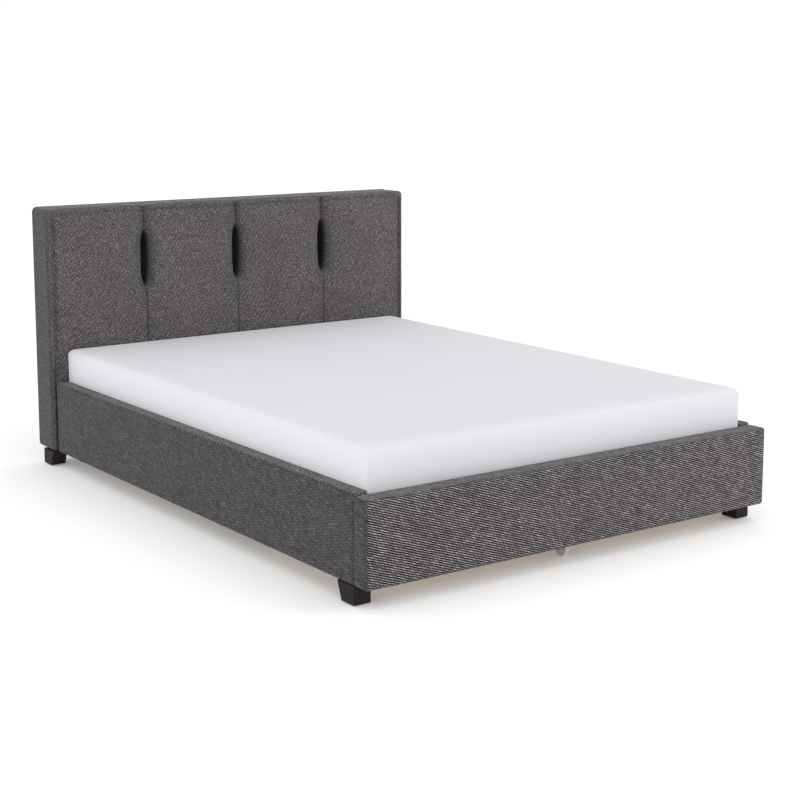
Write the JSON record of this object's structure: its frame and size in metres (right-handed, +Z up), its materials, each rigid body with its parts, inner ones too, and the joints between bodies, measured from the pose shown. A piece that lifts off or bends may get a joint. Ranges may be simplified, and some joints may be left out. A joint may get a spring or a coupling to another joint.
{
  "type": "upholstered platform bed with storage drawer",
  "caption": "Low upholstered platform bed with a panelled headboard, slat deck, mattress and a full-width storage drawer that rolls out from under the foot end.",
  "frame": {"origin": "on the floor under the middle of the whole bed, drawer closed", "axes": "+Z up, +Y towards the headboard, +X to the right for someone standing at the foot and facing the headboard"},
  "size_m": [1.66, 2.25, 1],
  "materials": {
    "grey_tweed": "matte",
    "white_ticking": "matte",
    "espresso_wood": "satin",
    "frame_timber": "matte",
    "slat_wood": "matte",
    "drawer_board": "satin",
    "plywood": "matte",
    "lining_board": "matte",
    "black_steel": "satin",
    "zinc_steel": "satin",
    "grey_plastic": "satin",
    "black_plastic": "matte"
  },
  "bodies": {
    "bed_frame": {"beam_hangers": "black_steel", "centre_beam": "frame_timber", "centre_leg_front": "frame_timber", "centre_leg_rear": "frame_timber", "drawer_guide_left": "frame_timber", "drawer_guide_right": "frame_timber", "foot_brackets": "black_steel", "foot_cross_rail": "frame_timber", "foot_leg_left": "espresso_wood", "foot_leg_right": "espresso_wood", "head_ledger": "frame_timber", "headboard_back_panel": "lining_board", "headboard_bolts": "zinc_steel", "headboard_bottom_rail": "frame_timber", "headboard_brackets": "black_steel", "headboard_cover": "grey_tweed", "headboard_front_panel": "plywood", "headboard_leg_left": "espresso_wood", "headboard_leg_right": "espresso_wood", "headboard_mid_rail": "frame_timber", "headboard_post_left": "frame_timber", "headboard_post_right": "frame_timber", "headboard_top_rail": "frame_timber", "leg_glides": "black_plastic", "rail_bolts": "zinc_steel", "side_rail_board_left": "frame_timber", "side_rail_board_right": "frame_timber", "side_rail_cover_left": "grey_tweed", "side_rail_cover_right": "grey_tweed", "slat_01": "slat_wood", "slat_02": "slat_wood", "slat_03": "slat_wood", "slat_04": "slat_wood", "slat_05": "slat_wood", "slat_06": "slat_wood", "slat_07": "slat_wood", "slat_08": "slat_wood", "slat_09": "slat_wood", "slat_10": "slat_wood", "slat_11": "slat_wood", "slat_12": "slat_wood", "slat_cleat_left": "frame_timber", "slat_cleat_right": "frame_timber", "slat_screws": "zinc_steel"},
    "storage_drawer": {"drawer_front_board": "plywood", "drawer_front_cover": "grey_tweed", "drawer_side_left": "drawer_board", "drawer_side_right": "drawer_board", "drawer_back": "drawer_board", "drawer_divider": "drawer_board", "drawer_bottom_left": "drawer_board", "drawer_bottom_right": "drawer_board", "wheel_brackets": "zinc_steel", "wheel_axles": "zinc_steel"},
    "mattress": {"mattress": "white_ticking"},
    "wheel_front_centre": {"wheel_front_centre": "grey_plastic"},
    "wheel_front_left": {"wheel_front_left": "grey_plastic"},
    "wheel_front_right": {"wheel_front_right": "grey_plastic"},
    "wheel_rear_left": {"wheel_rear_left": "grey_plastic"},
    "wheel_rear_right": {"wheel_rear_right": "grey_plastic"}
  },
  "joints": [
    {"name": "drawer_slide", "type": "slide", "parent": "bed_frame", "child": "storage_drawer", "axis": [0, -1, 0], "range_m": [0, 0.55]},
    {"name": "mattress_lift", "type": "slide", "parent": "bed_frame", "child": "mattress", "axis": [0, 0, 1], "range_m": [0, 0.3]},
    {"name": "wheel_front_centre_roll", "type": "hinge", "parent": "storage_drawer", "child": "wheel_front_centre", "pos_m": [0, -1.025, 0.025], "axis": [1, 0, 0], "continuous": true},
    {"name": "wheel_front_left_roll", "type": "hinge", "parent": "storage_drawer", "child": "wheel_front_left", "pos_m": [-0.6, -0.86, 0.025], "axis": [1, 0, 0], "continuous": true},
    {"name": "wheel_front_right_roll", "type": "hinge", "parent": "storage_drawer", "child": "wheel_front_right", "pos_m": [0.6, -0.86, 0.025], "axis": [1, 0, 0], "continuous": true},
    {"name": "wheel_rear_left_roll", "type": "hinge", "parent": "storage_drawer", "child": "wheel_rear_left", "pos_m": [-0.6, -0.48, 0.025], "axis": [1, 0, 0], "continuous": true},
    {"name": "wheel_rear_right_roll", "type": "hinge", "parent": "storage_drawer", "child": "wheel_rear_right", "pos_m": [0.6, -0.48, 0.025], "axis": [1, 0, 0], "continuous": true}
  ],
  "couplings": [
    {"joint": "wheel_front_centre_roll", "follows": "drawer_slide", "rad_per_m": 40},
    {"joint": "wheel_front_left_roll", "follows": "drawer_slide", "rad_per_m": 40},
    {"joint": "wheel_front_right_roll", "follows": "drawer_slide", "rad_per_m": 40},
    {"joint": "wheel_rear_left_roll", "follows": "drawer_slide", "rad_per_m": 40},
    {"joint": "wheel_rear_right_roll", "follows": "drawer_slide", "rad_per_m": 40}
  ]
}
